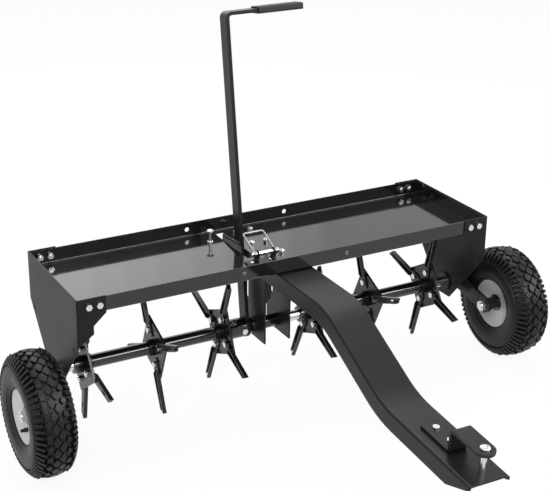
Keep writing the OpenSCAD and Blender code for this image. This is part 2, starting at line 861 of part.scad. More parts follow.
module lever() {
    bend_x = lever_x + lever_sheet + lever_bend;
    bend_z = lever_top - lever_sheet - lever_bend;
    color(coat) placed() difference() {
        at_lever() {
            rod_x(lever_boss_d, lever_x, lever_x + lever_sheet);
            translate([lever_x, -lever_bar / 2, 0]) cube([lever_sheet, lever_bar, bend_z]);
            translate([bend_x, 0, bend_z]) rotate([90, 0, 180]) rotate_extrude(angle = 90)
                translate([lever_bend, -lever_bar / 2]) square([lever_sheet, lever_bar]);
            translate([bend_x, -lever_bar / 2, lever_top - lever_sheet])
                cube([lever_x + handle_length - bend_x, lever_bar, lever_sheet]);
        }
        rod_x(shaft_d + 2 * fit_room, lever_x - overrun, lever_x + lever_sheet + overrun);
    }
}

// Grip outline with rounded corners, about the middle of the bar
module grip_outline(width, tall, radius) {
    square([width - 2 * radius, tall], center = true);
    square([width, tall - 2 * radius], center = true);
    for (y = [-1, 1], z = [-1, 1])
        translate([y * (width / 2 - radius), z * (tall / 2 - radius)]) circle(r = radius);
}

module lever_grip() {
    start = lever_x + handle_length + grip_cap - grip_length;
    inner_w = lever_bar + 2 * fit_room;
    inner_t = lever_sheet + 2 * fit_room;
    color(rubber) placed() at_lever() translate([start, 0, lever_top - lever_sheet / 2]) difference() {
        across(grip_length, false)
            grip_outline(lever_bar + 2 * grip_wall, lever_sheet + 2 * grip_wall, grip_round);
        translate([-overrun, -inner_w / 2, -inner_t / 2])
            cube([grip_length - grip_cap + overrun, inner_w, inner_t]);
    }
}

module lever_bolt_places() {
    for (k = [-1, 1])
        translate([lever_x - lever_collar_l / 2 + k * lever_bolt_pitch / 2, 0, 0])
            rotate([lever_bolt_turn + lever_bolt_spread * k, 0, 0]) children();
}

module lever_collar() {
    color(coat) placed() difference() {
        ring_x(lever_collar_d, shaft_d + 2 * fit_room, lever_x - lever_collar_l, lever_x);
        lever_bolt_places() cylinder(d = bolt_d + 2 * hole_room, h = lever_collar_d);
    }
}

// Round bar on the left face of the lever that meets the rear end of the slot
module stop_rod() {
    color(zinc) placed() at_lever() difference() {
        translate([lever_x - stop_rod_d / 2 + stop_rod_flat, -lever_bar / 2, stop_rod_z])
            rotate([-90, 0, 0]) cylinder(d = stop_rod_d, h = stop_rod_l);
        translate([lever_x, -lever_bar / 2 - overrun, stop_rod_z - stop_rod_d])
            cube([stop_rod_d, stop_rod_l + 2 * overrun, 2 * stop_rod_d]);
    }
}

// Wheel arms
module at_arm(side) {
    on_side(side) rotate([arm_slope, 0, 0]) children();
}

module arm_bolt_places() {
    for (side = [-1, 1])
        on_side(side) translate([arm_x - arm_collar / 2, 0, 0]) children();
}

module wheel_arm(side) {
    color(coat) placed() difference() {
        union() {
            at_arm(side) {
                translate([arm_x, 0, 0]) across(arm_sheet, false)
                    rotate(90) slot_outline(arm_bar, -arm_bar / 2, arm_length + arm_bar / 2);
                translate([0, -arm_length, 0]) rod_x(arm_boss_d, arm_out - overrun, arm_out + arm_boss);
            }
            on_side(side) rod_x(arm_collar_d, arm_x - arm_collar, arm_x + overrun);
        }
        on_side(side) rod_x(shaft_d + 2 * fit_room, arm_x - arm_collar - overrun, arm_out + overrun);
        at_arm(side) translate([0, -arm_length, 0])
            rod_x(spindle_d + 2 * fit_room, arm_x - overrun, arm_out + arm_boss + overrun);
        arm_bolt_places() cylinder(d = bolt_d + 2 * hole_room, h = 2 * arm_bar, center = true);
        arm_bolt_flats();
    }
}

// Flats on the arm's collar that seat the cross bolt's head and nut
module arm_bolt_flats() {
    arm_bolt_places() for (end = [-1, 1])
        translate([-overrun, 0, end * (arm_seat + arm_bar / 2)])
            cube([arm_collar, arm_bar, arm_bar], center = true);
}

module left_wheel_arm() {
    wheel_arm(-1);
}

module right_wheel_arm() {
    wheel_arm(1);
}

// Set bolts of the lever collar, which bear on the shaft, and cross bolts of the arms with their nuts
module shaft_bolts() {
    color(zinc) placed() {
        lever_bolt_places() translate([0, 0, lever_collar_d / 2])
            bolt((lever_collar_d - shaft_d) / 2 - fit_room);
        arm_bolt_places() {
            translate([0, 0, arm_seat]) bolt(2 * arm_seat + nut_tall + bolt_tail);
            translate([0, 0, -arm_seat - nut_tall]) nut();
        }
    }
}

module at_axle(side) {
    on_side(side) translate([0, axle_y, axle_z]) children();
}

module spindles() {
    color(zinc) placed() for (side = [-1, 1]) at_axle(side)
        rod_x(spindle_d, arm_x - spindle_nut - bolt_tail, hub_out + spindle_nut + bolt_tail);
}

module spindle_nuts() {
    color(zinc) placed() for (side = [-1, 1]) at_axle(side) for (x = [arm_x - spindle_nut, hub_out])
        translate([x, 0, 0]) rotate([0, 90, 0]) nut(spindle_d, spindle_flats, spindle_nut);
}

// Stars
module at_star(i) {
    translate([star_x[i], 0, 0]) mirror([i == 0 ? 1 : 0, 0, 0]) rotate([star_turn[i], 0, 0]) children();
}

module spoon_places() {
    for (k = [0 : 3])
        rotate([90 * k, 0, 0]) children();
}

module star_plate(i) {
    color(coat) placed() at_star(i) difference() {
        union() {
            rotate([45, 0, 0]) translate([0, -star_side / 2, -star_side / 2])
                cube([star_sheet, star_side, star_side]);
            rod_x(star_hub_d, -star_hub_l / 2, star_hub_l / 2);
        }
        rod_x(shaft_d + 2 * run_room, -star_hub_l, star_hub_l);
        spoon_places() translate([-overrun, 0, 0]) across(star_sheet + 2 * overrun, false)
            slot_outline(plate_hole_d, spoon_bolt_r - plate_slot / 2, spoon_bolt_r + plate_slot / 2);
    }
}

// Face of a spoon in [y, z], narrower towards its tip and drawn in on both sides by an inset
module spoon_outline(inset) {
    foot = spoon_width / 2 - inset;
    tip = spoon_tip / 2 - inset;
    polygon([[-foot, spoon_foot], [foot, spoon_foot], [tip, spoon_reach + overrun],
             [-tip, spoon_reach + overrun]]);
}

// A spoon pointing up, its back on the plate at x = 0 and its gutter open to -X
module spoon() {
    cut = 2 * spoon_width;
    difference() {
        intersection() {
            union() {
                difference() {
                    translate([-spoon_leg, 0, 0]) across(spoon_leg, false) spoon_outline(0);
                    for (lap = [-overrun, overrun])
                        translate([-spoon_leg - overrun, 0, lap])
                            across(spoon_leg + overrun - spoon_sheet, false) spoon_outline(spoon_sheet);
                }
                translate([-spoon_leg, 0, 0]) across(spoon_sheet / 2, false) difference() {
                    spoon_outline(0);
                    spoon_outline(spoon_sheet + spoon_lip / 2);
                    translate([-spoon_width, 0]) square([2 * spoon_width, spoon_reach - spoon_lip_l]);
                }
            }
            rotate([90, 0, 0]) linear_extrude(spoon_width + overrun, center = true)
                polygon([[0, spoon_foot], [-spoon_sheet, spoon_foot], [-spoon_sheet, spoon_wall_start],
                         [-spoon_leg, spoon_wall_start + spoon_leg], [-spoon_leg, spoon_reach],
                         [0, spoon_reach]]);
        }
        translate([0, spoon_tip / 2, spoon_reach]) rotate([spoon_slant, 0, 0])
            translate([-cut, -cut, 0]) cube(2 * cut);
        translate([0, 0, spoon_bolt_r])
            rod_x(bolt_d + 2 * hole_room, -spoon_sheet - overrun, overrun);
        translate([-spoon_sheet - overrun, 0, 0]) across(spoon_sheet + 2 * overrun, false)
            slot_outline(spoon_hole_w, spoon_hole_low, spoon_hole_high);
    }
}

module star_spoons(i) {
    color(coat) placed() at_star(i) spoon_places() spoon();
}

module star_bolts(i) {
    color(zinc) placed() at_star(i) spoon_places() translate([0, 0, spoon_bolt_r]) {
        translate([-spoon_sheet, 0, 0]) rotate([0, -90, 0])
            bolt(spoon_sheet + star_sheet + nut_tall + bolt_tail);
        translate([star_sheet, 0, 0]) rotate([0, 90, 0]) nut();
    }
}

// Wheels
module at_wheel(side) {
    at_axle(side) translate([wheel_x, 0, 0]) rotate([0, 90, 0]) children();
}

// Tyre section in [radius, width]: the crown and the two sidewalls, each a round arc
module tyre_outline(tread, wall) {
    intersection() {
        translate([wheel_d / 2 - tyre_crown_r, 0]) circle(r = tyre_crown_r - tread);
        translate([tyre_side_at, tyre_width / 2 - tyre_side_r]) circle(r = tyre_side_r - wall);
        translate([tyre_side_at, tyre_side_r - tyre_width / 2]) circle(r = tyre_side_r - wall);
        translate([bead_r + side_room, -tyre_width]) square([wheel_d, 2 * tyre_width]);
    }
}

// Place of a tread block: along the tread's round and standing out from the axle
module tread_place(share) {
    rotate([0, 0, 360 * share / tread_count]) translate([tread_root, 0, 0]) rotate([90, 0, 90])
        children();
}

// Blocks of one half of the tread, each from the zigzag at the middle down over the shoulder
module tread_half() {
    half = tread_pitch * tread_block_share / 2;
    zig = tyre_width * tread_zig_share;
    slit = tyre_width * tread_slit_share;
    lug = tread_pitch * tread_lug_wide_share;
    lug_to = tyre_width * tread_lug_share;
    for (k = [0 : tread_count - 1])
        tread_place(k) linear_extrude(wheel_d / 2)
            polygon([[-half, slit + zig], [0, slit - zig], [half, slit + zig], [lug, lug_to], [-lug, lug_to]]);
}

module tyre(side) {
    lip = rim_deep - rim_lip - side_room;
    color(rubber) placed() at_wheel(side) {
        rotate_extrude() difference() {
            tyre_outline(tread_depth, 0);
            tyre_outline(tyre_tread, tyre_side_sheet);
            for (end = [0, 1]) mirror([0, end])
                translate([0, lip]) square([rim_d / 2 + side_room, tyre_width]);
        }
        intersection() {
            rotate_extrude() tyre_outline(0, 0);
            union() {
                tread_half();
                rotate([0, 0, 180 / tread_count]) mirror([0, 0, 1]) tread_half();
            }
        }
    }
}

// Half of the rim in [radius, depth]: the barrel, the lip and the dished side
module rim_outline() {
    difference() {
        union() {
            square([bead_r, rim_deep]);
            translate([0, rim_deep - rim_lip]) square([rim_d / 2, rim_lip]);
        }
        translate([0, dish_z]) circle(r = dish_r);
        difference() {
            translate([0, -overrun]) square([bead_r - rim_sheet, rim_deep]);
            translate([0, dish_z]) circle(r = dish_r + rim_sheet);
        }
        translate([0, -overrun]) square([hub_d / 2 + fit_room, rim_width]);
    }
}

module rim(side) {
    color(silver) placed() at_wheel(side) difference() {
        rotate_extrude() {
            rim_outline();
            mirror([0, 1]) rim_outline();
        }
        translate([valve_r, 0, 0]) cylinder(d = valve_d + 2 * fit_room, h = rim_width);
    }
}

module hub(side) {
    color(rubber) placed() at_wheel(side) difference() {
        cylinder(d = hub_d, h = hub_length, center = true);
        cylinder(d = bearing_d + 2 * fit_room, h = hub_length + overrun, center = true);
    }
}

module bearings(side) {
    color(silver) placed() at_wheel(side) for (z = [-hub_length / 2, hub_length / 2 - bearing_w])
        translate([0, 0, z]) difference() {
            cylinder(d = bearing_d, h = bearing_w);
            translate([0, 0, -overrun]) cylinder(d = spindle_d + 2 * run_room, h = bearing_w + 2 * overrun);
        }
}

module valve(side) {
    color(rubber) placed() at_wheel(side) translate([valve_r, 0, valve_foot]) {
        cylinder(d = valve_d, h = valve_l);
        translate([0, 0, valve_l]) cylinder(d = valve_cap_d, h = valve_cap);
    }
}

tray();
left_side_panel();
right_side_panel();
panel_bolts();
panel_nuts();
shaft_bushings();
tongue();
floor_bolts();
floor_nuts();
left_hanger();
right_hanger();
hitch_bracket();
hitch_bolts();
latch_bracket();
latch_pivot();
latch_bolts();
parking_pin();
shaft();
spacer_tubes();
set_collars();
lever();
lever_grip();
lever_collar();
stop_rod();
left_wheel_arm();
right_wheel_arm();
shaft_bolts();
spindles();
spindle_nuts();
for (i = [0 : star_count - 1]) {
    star_plate(i);
    star_spoons(i);
    star_bolts(i);
}
for (side = [-1, 1]) {
    name = side < 0 ? "left" : "right";
    tyre(side);
    rim(side);
    hub(side);
    bearings(side);
    valve(side);
}
latch_bail();
hitch_pin();
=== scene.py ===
import bpy
import json
import math
from mathutils import Matrix, Vector


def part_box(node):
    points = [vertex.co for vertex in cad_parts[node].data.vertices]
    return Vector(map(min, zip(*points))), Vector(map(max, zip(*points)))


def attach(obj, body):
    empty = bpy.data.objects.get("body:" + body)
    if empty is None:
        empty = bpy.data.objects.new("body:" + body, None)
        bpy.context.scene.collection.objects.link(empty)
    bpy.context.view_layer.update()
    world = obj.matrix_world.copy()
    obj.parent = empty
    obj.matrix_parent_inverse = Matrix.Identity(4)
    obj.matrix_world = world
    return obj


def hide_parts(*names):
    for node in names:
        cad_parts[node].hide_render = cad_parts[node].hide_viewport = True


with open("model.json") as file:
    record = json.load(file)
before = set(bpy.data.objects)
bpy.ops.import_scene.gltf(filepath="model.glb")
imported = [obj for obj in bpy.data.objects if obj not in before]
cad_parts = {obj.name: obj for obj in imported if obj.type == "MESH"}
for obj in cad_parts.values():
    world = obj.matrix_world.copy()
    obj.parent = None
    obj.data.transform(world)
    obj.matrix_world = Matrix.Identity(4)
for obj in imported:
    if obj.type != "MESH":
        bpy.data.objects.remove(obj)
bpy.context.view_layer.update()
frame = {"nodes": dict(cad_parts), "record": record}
print("frame loaded,", len(frame["nodes"]), "nodes")


# colour and node helpers
def linearColour(hexText):
    parts = [int(hexText[i:i + 2], 16) / 255 for i in (1, 3, 5)]
    return tuple(c / 12.92 if c <= 0.04045 else ((c + 0.055) / 1.055) ** 2.4 for c in parts) + (1.0,)


def perMetre(millimetres):
    return 1000.0 / millimetres  # texture scale for a feature of that size, in metre coordinates


def addNode(tree, kind, settings=None, links=None):
    node = tree.nodes.new(kind)
    for name, value in (settings or {}).items():
        if name in node.inputs:
            node.inputs[name].default_value = value
        else:
            setattr(node, name, value)
    for name, source in (links or {}).items():
        tree.links.new(source, node.inputs[name])
    return node


def newMaterial(name):
    material = bpy.data.materials.new(name)
    material.use_nodes = True
    tree = material.node_tree
    tree.nodes.clear()
    output = addNode(tree, "ShaderNodeOutputMaterial")
    shader = addNode(tree, "ShaderNodeBsdfPrincipled")
    tree.links.new(shader.outputs["BSDF"], output.inputs["Surface"])
    place = addNode(tree, "ShaderNodeTexCoord").outputs["Object"]
    return material, tree, shader, place


bumpDepth = {"coat": 0.0002, "plate": 0.0002, "rubber": 0.0003}  # metres
edgeSamples = 4
coatIor = 1.5


# powder coat on folded sheet steel: sprayed dry and baked, so it is deep black with a soft
# gloss, a faint orange peel and corners that catch a thin line of light
def powderCoat(name, look):
    material, tree, shader, place = newMaterial(name)
    cloud = addNode(tree, "ShaderNodeTexNoise",
                    {"Scale": perMetre(look["cloudMm"]), "Detail": 3.0}, {"Vector": place})
    shade = addNode(tree, "ShaderNodeMix", {"data_type": "RGBA"}, {"Factor": cloud.outputs["Fac"]})
    shade.inputs["A"].default_value = linearColour(look["dark"])
    shade.inputs["B"].default_value = linearColour(look["light"])
    peel = addNode(tree, "ShaderNodeTexNoise",
                   {"Scale": perMetre(look["peelMm"]), "Detail": 2.0}, {"Vector": place})
    gloss = addNode(tree, "ShaderNodeMapRange", {"To Min": look["rough"][0], "To Max": look["rough"][1]},
                    {"Value": cloud.outputs["Fac"]})
    edge = addNode(tree, "ShaderNodeBevel", {"samples": edgeSamples, "Radius": look["edgeMm"] / 1000})
    bump = addNode(tree, "ShaderNodeBump", {"Strength": look["peel"], "Distance": bumpDepth["coat"]},
                   {"Height": peel.outputs["Fac"], "Normal": edge.outputs["Normal"]})
    tree.links.new(shade.outputs["Result"], shader.inputs["Base Color"])
    tree.links.new(gloss.outputs["Result"], shader.inputs["Roughness"])
    tree.links.new(bump.outputs["Normal"], shader.inputs["Normal"])
    shader.inputs["IOR"].default_value = coatIor
    shader.inputs["Specular IOR Level"].default_value = look["specular"]
    return material


# zinc plate on steel, also used for bare metal and metal paint: a pale cool metal with a fine
# uneven sheen and slightly duller patches
def zincPlate(name, look):
    material, tree, shader, place = newMaterial(name)
    patch = addNode(tree, "ShaderNodeTexNoise",
                    {"Scale": perMetre(look["patchMm"]), "Detail": 4.0}, {"Vector": place})
    tint = addNode(tree, "ShaderNodeMix", {"data_type": "RGBA"}, {"Factor": patch.outputs["Fac"]})
    tint.inputs["A"].default_value = linearColour(look["dark"])
    tint.inputs["B"].default_value = linearColour(look["light"])
    gloss = addNode(tree, "ShaderNodeMapRange", {"To Min": look["rough"][0], "To Max": look["rough"][1]},
                    {"Value": patch.outputs["Fac"]})
    grain = addNode(tree, "ShaderNodeTexNoise",
                    {"Scale": perMetre(look["grainMm"]), "Detail": 2.0}, {"Vector": place})
    edge = addNode(tree, "ShaderNodeBevel", {"samples": edgeSamples, "Radius": look["edgeMm"] / 1000})
    bump = addNode(tree, "ShaderNodeBump", {"Strength": look["grain"], "Distance": bumpDepth["plate"]},
                   {"Height": grain.outputs["Fac"], "Normal": edge.outputs["Normal"]})
    tree.links.new(tint.outputs["Result"], shader.inputs["Base Color"])
    tree.links.new(gloss.outputs["Result"], shader.inputs["Roughness"])
    tree.links.new(bump.outputs["Normal"], shader.inputs["Normal"])
    shader.inputs["Metallic"].default_value = look["metal"]
    return material


# moulded rubber: cured in a polished mould, so it is a flat charcoal with a faint bloom
# in patches and a very fine grain
def mouldedRubber(name, look):
    material, tree, shader, place = newMaterial(name)
    bloom = addNode(tree, "ShaderNodeTexNoise",
                    {"Scale": perMetre(look["bloomMm"]), "Detail": 4.0}, {"Vector": place})
    shade = addNode(tree, "ShaderNodeMix", {"data_type": "RGBA"}, {"Factor": bloom.outputs["Fac"]})
    shade.inputs["A"].default_value = linearColour(look["dark"])
    shade.inputs["B"].default_value = linearColour(look["light"])
    gloss = addNode(tree, "ShaderNodeMapRange", {"To Min": look["rough"][0], "To Max": look["rough"][1]},
                    {"Value": bloom.outputs["Fac"]})
    grain = addNode(tree, "ShaderNodeTexNoise",
                    {"Scale": perMetre(look["grainMm"]), "Detail": 2.0}, {"Vector": place})
    bump = addNode(tree, "ShaderNodeBump", {"Strength": look["grain"], "Distance": bumpDepth["rubber"]},
                   {"Height": grain.outputs["Fac"]})
    tree.links.new(shade.outputs["Result"], shader.inputs["Base Color"])
    tree.links.new(gloss.outputs["Result"], shader.inputs["Roughness"])
    tree.links.new(bump.outputs["Normal"], shader.inputs["Normal"])
    shader.inputs["Specular IOR Level"].default_value = look["specular"]
    return material


# peel, grain and patch sizes below about 2 mm don't show at this distance, so they are drawn at 2 to 3 mm
trayLook = {"dark": "#121213", "light": "#19191a", "cloudMm": 90, "peelMm": 3, "peel": 0.03,
            "rough": (0.07, 0.11), "edgeMm": 1.2, "specular": 0.55}
panelLook = {"dark": "#111112", "light": "#181819", "cloudMm": 80, "peelMm": 3, "peel": 0.07,
             "rough": (0.36, 0.46), "edgeMm": 1.2, "specular": 0.16}
frameLook = {"dark": "#111112", "light": "#19191a", "cloudMm": 60, "peelMm": 3, "peel": 0.10,
             "rough": (0.30, 0.40), "edgeMm": 2.5, "specular": 0.22}
starLook = {"dark": "#0c0c0d", "light": "#161617", "cloudMm": 30, "peelMm": 2.5, "peel": 0.12,
            "rough": (0.22, 0.34), "edgeMm": 1.0, "specular": 0.35}
tubeLook = {"dark": "#0c0c0d", "light": "#131314", "cloudMm": 50, "peelMm": 8, "peel": 0.01,
            "rough": (0.10, 0.16), "edgeMm": 0.8, "specular": 0.6}
zincLook = {"dark": "#c2c5c8", "light": "#dcdee0", "patchMm": 6, "grainMm": 2, "grain": 0.03,
            "rough": (0.14, 0.24), "edgeMm": 0.6, "metal": 1.0}
wireLook = {"dark": "#7c7f82", "light": "#94979a", "patchMm": 8, "grainMm": 2, "grain": 0.03,
            "rough": (0.22, 0.32), "edgeMm": 0.6, "metal": 1.0}
rimLook = {"dark": "#b0b2b4", "light": "#c2c4c6", "patchMm": 25, "grainMm": 2, "grain": 0.03,
           "rough": (0.34, 0.44), "edgeMm": 1.0, "metal": 0.25}
bearingLook = {"dark": "#8d8f92", "light": "#a8aaad", "patchMm": 5, "grainMm": 2, "grain": 0.03,
               "rough": (0.25, 0.35), "edgeMm": 0.4, "metal": 1.0}
tyreLook = {"dark": "#0a0a0b", "light": "#141415", "bloomMm": 22, "grainMm": 2.5, "grain": 0.18,
            "rough": (0.34, 0.50), "specular": 0.24}
gripLook = {"dark": "#101011", "light": "#19191a", "bloomMm": 15, "grainMm": 2.5, "grain": 0.25,
            "rough": (0.50, 0.62), "specular": 0.3}
bushLook = {"dark": "#111112", "light": "#181819", "bloomMm": 12, "grainMm": 2, "grain": 0.10,
            "rough": (0.40, 0.50), "specular": 0.35}

trayCoat = powderCoat("glossPowderCoat", trayLook)  # smooth floor, so the walls and bolts mirror in it
panelCoat = powderCoat("evenPowderCoat", panelLook)  # large flat sides with a quiet, even sheen
frameCoat = powderCoat("powderCoat", frameLook)  # folded strip and channel, a little peel on wide faces
starCoat = powderCoat("satinPowderCoat", starLook)  # thin coat on pressed spoons, sharp glints at folds
tubeCoat = powderCoat("glossTubeCoat", tubeLook)  # drawn tube, so it shows long straight streaks
zinc = zincPlate("zincPlate", zincLook)  # bright fasteners and pins
wireSteel = zincPlate("drawnWire", wireLook)  # plated wire, greyer than the bolts beside it
rimPaint = zincPlate("silverPaint", rimLook)  # pressed rim under paint with metal flake, soft and pale
bearingSteel = zincPlate("groundSteel", bearingLook)  # darker, finely ground rings
tyreRubber = mouldedRubber("tyreRubber", tyreLook)  # near black, grey only where the blocks catch light
gripRubber = mouldedRubber("gripRubber", gripLook)  # dull sleeve on the lever
bushNylon = mouldedRubber("blackNylon", bushLook)  # smooth moulded flange round the shaft
print("materials made")

# which finish each CAD node shows
slotFinish = {"black_coat": frameCoat, "zinc_plate": zinc, "rim_paint": rimPaint, "tyre": tyreRubber,
              "black_rubber": gripRubber, "black_plastic": bushNylon, "bearing_steel": bearingSteel}
nodeSlot = {row["node"]: row["material_slot"] for row in frame["record"]["subparts"]}
nodeFinish = {"tray": trayCoat, "left_side_panel": panelCoat, "right_side_panel": panelCoat,
              "spacer_tubes": tubeCoat, "set_collars": tubeCoat, "lever_collar": tubeCoat,
              "left_hub": tubeCoat, "right_hub": tubeCoat, "latch_bail": wireSteel,
              "stop_rod": frameCoat}  # the photograph shows no bright rod here, so it takes the lever's coat
for name, node in frame["nodes"].items():
    finish = nodeFinish.get(name, slotFinish[nodeSlot[name]])
    if finish is frameCoat and (name.startswith("star_") or name.endswith("_arm")):
        finish = starCoat
    node.data.materials.clear()
    node.data.materials.append(finish)
print("finishes set on the CAD nodes")

# tyres: a carcass turned round the axle, with raised rings on its sides and blocks standing on its tread
# lengths in millimetres, rings as place along the section, half width and height
tyreForm = {"crownRadius": 74, "sideRadius": 50, "sideAt": 91, "soften": 6.0,
            "depth": 6.5, "depthFrom": 40, "depthTo": 56, "turns": 180, "pitches": 30, "step": 2.0,
            "seatRadius": 59.6, "seatDepth": 28.6, "boreRadius": 50.6,
            "rings": [(57.8, 1.1, 1.8), (62.0, 0.8, 0.5), (92.0, 1.2, 0.7), (103.0, 2.2, 1.1)],
            "chamfer": 0.9, "root": 10.5, "flare": 0.4, "edgeStep": 4.0,
            "lugRise": 3.4, "lugStagger": 3.5, "lugMiddle": 40}
# outlines of the blocks: share of a pitch along the round, millimetres from the middle of the tread
treadBlocks = {"inner": [(-0.38, 4.4), (0.0, -3.2), (0.38, 4.4), (0.38, 8.6), (0.13, 13.4), (-0.13, 13.4),
                         (-0.38, 8.6)],
               "outer": [(-0.26, 17.8), (0.0, 13.6), (0.26, 17.8), (0.26, 21.5), (0.11, 27.0), (-0.11, 27.0),
                         (-0.26, 21.5)],
               "lug": [(-0.13, 29.5), (0.11, 27.6), (0.14, 53.5), (-0.14, 53.5)]}
treadRows = (("inner", 0.0), ("outer", 0.5), ("lug", 0.0), ("lug", 0.5))


def makeTyre(side):
    low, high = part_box(side + "_tyre")
    middle = (low + high) / 2
    outer = (high.z - low.z) / 2 * 1000
    width = (high.x - low.x) * 1000
    crown, flank, at = tyreForm["crownRadius"], tyreForm["sideRadius"], tyreForm["sideAt"]
    crownMiddle = outer - crown
    flankMiddle = width / 2 - flank
    reach = math.hypot(at - crownMiddle, flankMiddle)  # where the crown's circle meets the flank's
    bend = math.acos((crown ** 2 + reach ** 2 - flank ** 2) / (2 * crown * reach))
    shoulder = bend + math.atan2(flankMiddle, at - crownMiddle)
    shoulderRadius = crownMiddle + crown * math.cos(shoulder)
    shoulderDepth = crown * math.sin(shoulder)
    flankStart = math.atan2(shoulderDepth - flankMiddle, shoulderRadius - at)
    crownArc = crown * shoulder
    flankEnd = math.acos((tyreForm["seatRadius"] - at) / flank)
    lastArc = crownArc + flank * (flankEnd - flankStart)

    def lean(arc):
        if arc <= crownArc:
            return arc / crown
        return flankStart + (arc - crownArc) / flank

    def surface(arc, lift):  # radius and depth at an arc length from the middle of the tread
        size = abs(arc)
        angle = lean(size)
        if size <= crownArc:
            radius, depth = crownMiddle + crown * math.cos(angle), crown * math.sin(angle)
        else:
            radius, depth = at + flank * math.cos(angle), flankMiddle + flank * math.sin(angle)
        soft = tyreForm["soften"]
        if abs(size - crownArc) < soft:
            share = (size - crownArc + soft) / (2 * soft)
            angle = lean(crownArc - soft) * (1 - share) + lean(crownArc + soft) * share
        return radius + lift * math.cos(angle), math.copysign(depth + lift * math.sin(angle), arc)

    def carcassLift(arc):
        size = abs(arc)
        share = min(max((size - tyreForm["depthFrom"]) / (tyreForm["depthTo"] - tyreForm["depthFrom"]), 0), 1)
        lift = -tyreForm["depth"] * (1 - share * share * (3 - 2 * share))
        for place, half, tall in tyreForm["rings"]:
            lift += tall * max(0.0, 1 - ((size - place) / half) ** 2)
        return lift

    def point(along, radius, depth):
        turn = along / outer
        return (middle.x + depth / 1000, middle.y + radius * math.sin(turn) / 1000,
                middle.z + radius * math.cos(turn) / 1000)

    points, faces, smooth = [], [], []
    count = int(2 * lastArc / tyreForm["step"])
    arcs = {-lastArc + 2 * lastArc * i / count for i in range(count + 1)}
    for place, half, tall in tyreForm["rings"]:
        for share in (-1, -0.5, 0, 0.5, 1):
            arcs.update((place + share * half, -place - share * half))
    section = [surface(arc, carcassLift(arc)) for arc in sorted(a for a in arcs if abs(a) <= lastArc)]
    seat, bore = tyreForm["seatDepth"], tyreForm["boreRadius"]
    section += [(tyreForm["seatRadius"], seat), (bore, seat), (bore, -seat), (tyreForm["seatRadius"], -seat)]
    turns, size = tyreForm["turns"], len(section)
    flatFaces = 5  # the seat and the bore at the end of the section
    for turn in range(turns):
        along = 2 * math.pi * outer * turn / turns
        points += [point(along, radius, depth) for radius, depth in section]
    for turn in range(turns):
        here, there = turn * size, (turn + 1) % turns * size
        for i in range(size):
            j = (i + 1) % size
            faces.append((here + i, here + j, there + j, there + i))
            smooth.append(i < size - flatFaces)

    def addBlock(outline, flip, shift, rise):  # outline in millimetres along the round and across it
        ring = []
        for (u0, v0), (u1, v1) in zip(outline, outline[1:] + outline[:1]):
            steps = max(1, int(math.hypot(u1 - u0, v1 - v0) / tyreForm["edgeStep"]))
            ring += [(u0 + (u1 - u0) * k / steps, v0 + (v1 - v0) * k / steps) for k in range(steps)]
        midU = sum(u for u, v in ring) / len(ring)
        midV = sum(v for u, v in ring) / len(ring)
        start = len(points)
        chamfer = tyreForm["chamfer"]
        for inset, lift in ((chamfer, 0.0), (0.0, -chamfer), (-tyreForm["flare"], -tyreForm["root"])):
            for u, v in ring:
                far = math.hypot(u - midU, v - midV)
                share = (far - inset) / far
                radius, depth = surface(midV + (v - midV) * share, lift + rise)
                points.append(point(midU + (u - midU) * share + shift, radius, depth * flip))
        radius, depth = surface(midV, rise)
        points.append(point(midU + shift, radius, depth * flip))
        number = len(ring)
        for i in range(number):
            j = (i + 1) % number
            quads = [(start + i, start + j, start + 3 * number)]
            for level in range(2):
                low = start + level * number
                quads.append((low + i, low + number + i, low + number + j, low + j))
            for quad in quads:
                faces.append(quad if flip > 0 else quad[::-1])
                smooth.append(False)
        faces.append(tuple(range(start + 2 * number, start + 3 * number))[::-flip])
        smooth.append(False)

    pitch = 2 * math.pi * outer / tyreForm["pitches"]
    for k in range(tyreForm["pitches"]):
        for flip, shift in ((1, 0.0), (-1, 0.5)):
            for kind, offset in treadRows:
                isLug = kind == "lug"
                stagger = tyreForm["lugStagger"] if isLug and offset else 0
                outline = [(u * pitch, v + (stagger if v < tyreForm["lugMiddle"] else 0))
                           for u, v in treadBlocks[kind]]
                addBlock(outline, flip, (k + shift + offset) * pitch, tyreForm["lugRise"] if isLug else 0.0)
    mesh = bpy.data.meshes.new(side + "TreadedTyre")
    mesh.from_pydata(points, [], faces)
    mesh.polygons.foreach_set("use_smooth", smooth)
    mesh.materials.append(tyreRubber)
    tyre = bpy.data.objects.new(side + "TreadedTyre", mesh)
    bpy.context.collection.objects.link(tyre)
    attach(tyre, side + "_wheel")
    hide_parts(side + "_tyre")


for side in ("left", "right"):
    makeTyre(side)
print("tyres made")

# floor, world and lamps
stageLook = {"floor": "#f4f4f4", "size": 30.0, "glow": 0.92, "fillStrength": 0.55}
lamps = [
    {"name": "keyLamp", "place": (-2.2, -2.4, 3.4), "aim": (0, 0.1, 0.3), "size": (2.4, 2.4), "power": 95},
    {"name": "topLamp", "place": (0.4, 1.6, 3.6), "aim": (0, 0.2, 0.3), "size": (3.0, 3.0), "power": 80},
    {"name": "sideLamp", "place": (3.2, -1.2, 2.2), "aim": (0, 0.1, 0.3), "size": (2.0, 2.0), "power": 40},
    {"name": "stripLamp", "place": (1.5, -2.25, 2.19), "aim": (0.6, 0.35, 0.16), "size": (4.2, 0.6),
     "power": 130, "glintsOnly": True},  # draws the long streak on the tubes
]

# rear panel that fades to the right in strips, so the tray's floor mirrors a soft slope of light
rearPanel = {"place": (0.04, 3.22, 1.55), "toward": (-0.9, -2.7, -1.2), "along": (0.949, -0.316, 0.0),
             "width": 1.15, "height": 1.2, "perArea": 5.1, "strips": 7, "stripWidth": 0.15}


